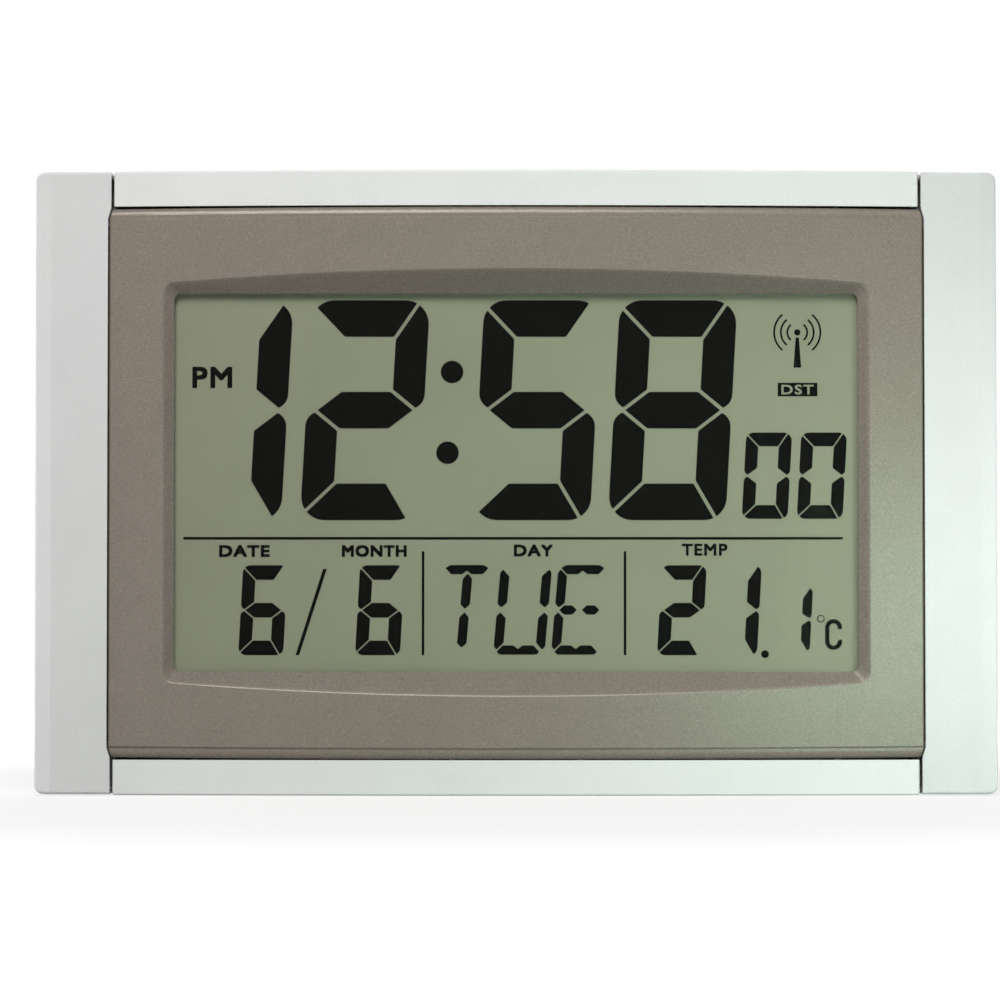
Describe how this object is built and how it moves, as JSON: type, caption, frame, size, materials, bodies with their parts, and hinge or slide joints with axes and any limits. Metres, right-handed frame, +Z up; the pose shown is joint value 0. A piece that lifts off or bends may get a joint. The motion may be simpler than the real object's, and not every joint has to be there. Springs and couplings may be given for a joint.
{
  "type": "digital desk clock",
  "caption": "Wide digital clock: bowed taupe face with silver rails and end caps, large liquid-crystal display, battery door, rear buttons, wall keyholes and a fold-out desk stand.",
  "frame": {"origin": "middle of the underside", "axes": "+X to the viewer's right, +Y to the back, +Z up"},
  "size_m": [0.37, 0.034, 0.24],
  "materials": {
    "taupe_face": "metallic paint, satin",
    "silver_trim": "silver paint, satin",
    "clear_window": "polished, clear",
    "lcd_glass": "grey-green, matt polariser",
    "reflector_film": "satin foil",
    "lcd_segments": "dark, matt",
    "white_plastic": "moulded",
    "screw_steel": "zinc plated",
    "contact_rubber": "soft",
    "board_laminate": "solder mask",
    "potting": "cast resin",
    "tin_can": "tinned",
    "capacitor_can": "sleeved",
    "black_plastic": "moulded",
    "ferrite": "sintered",
    "copper_winding": "enamelled wire",
    "grey_plastic": "fine spark texture",
    "cell_sleeve": "plain printed sleeve",
    "contact_plate": "nickel plated",
    "red_insulation": "smooth",
    "black_insulation": "smooth",
    "button_plastic": "moulded"
  },
  "bodies": {
    "clock": {"front_bezel": "taupe_face", "top_rail": "silver_trim", "bottom_rail": "silver_trim", "left_end_cap": "silver_trim", "right_end_cap": "silver_trim", "display_window": "clear_window", "lcd_front_glass": "lcd_glass", "lcd_rear_glass": "lcd_glass", "lcd_reflector": "reflector_film", "lcd_time_segments": "lcd_segments", "lcd_calendar_segments": "lcd_segments", "lcd_tray": "white_plastic", "tray_screws": "screw_steel", "contact_strip": "contact_rubber", "main_board": "board_laminate", "board_screws": "screw_steel", "controller_blob": "potting", "timing_crystal": "tin_can", "capacitors": "capacitor_can", "switch_housings": "black_plastic", "temperature_sensor": "potting", "receiver_board": "board_laminate", "receiver_chip": "potting", "receiver_leads": "black_insulation", "ferrite_rod": "ferrite", "antenna_coil": "copper_winding", "rear_cover": "grey_plastic", "rear_screws": "screw_steel", "upper_cell": "cell_sleeve", "lower_cell": "cell_sleeve", "cell_springs": "contact_plate", "link_contact": "contact_plate", "positive_contact": "contact_plate", "negative_contact": "contact_plate", "red_lead": "red_insulation", "black_lead": "black_insulation", "stand_pin": "screw_steel"},
    "stand": {"desk_stand": "grey_plastic"},
    "door": {"battery_door": "grey_plastic"},
    "set_key": {"set_button": "button_plastic", "set_plunger": "black_plastic"},
    "up_key": {"up_button": "button_plastic", "up_plunger": "black_plastic"},
    "down_key": {"down_button": "button_plastic", "down_plunger": "black_plastic"},
    "mode_key": {"mode_button": "button_plastic", "mode_plunger": "black_plastic"}
  },
  "joints": [
    {"name": "stand_fold", "type": "hinge", "parent": "clock", "child": "stand", "pos_m": [0, 0.014, 0.1], "axis": [1, 0, 0], "range_deg": [0, 30]},
    {"name": "door_open", "type": "hinge", "parent": "clock", "child": "door", "pos_m": [0, 0.017, 0.1677], "axis": [1, 0, 0], "range_deg": [0, 60]},
    {"name": "set_press", "type": "slide", "parent": "clock", "child": "set_key", "axis": [0, -1, 0], "range_m": [0, 0.0005], "stiffness_N_per_m": 2000},
    {"name": "up_press", "type": "slide", "parent": "clock", "child": "up_key", "axis": [0, -1, 0], "range_m": [0, 0.0005], "stiffness_N_per_m": 2000},
    {"name": "down_press", "type": "slide", "parent": "clock", "child": "down_key", "axis": [0, -1, 0], "range_m": [0, 0.0005], "stiffness_N_per_m": 2000},
    {"name": "mode_press", "type": "slide", "parent": "clock", "child": "mode_key", "axis": [0, -1, 0], "range_m": [0, 0.0005], "stiffness_N_per_m": 2000}
  ]
}
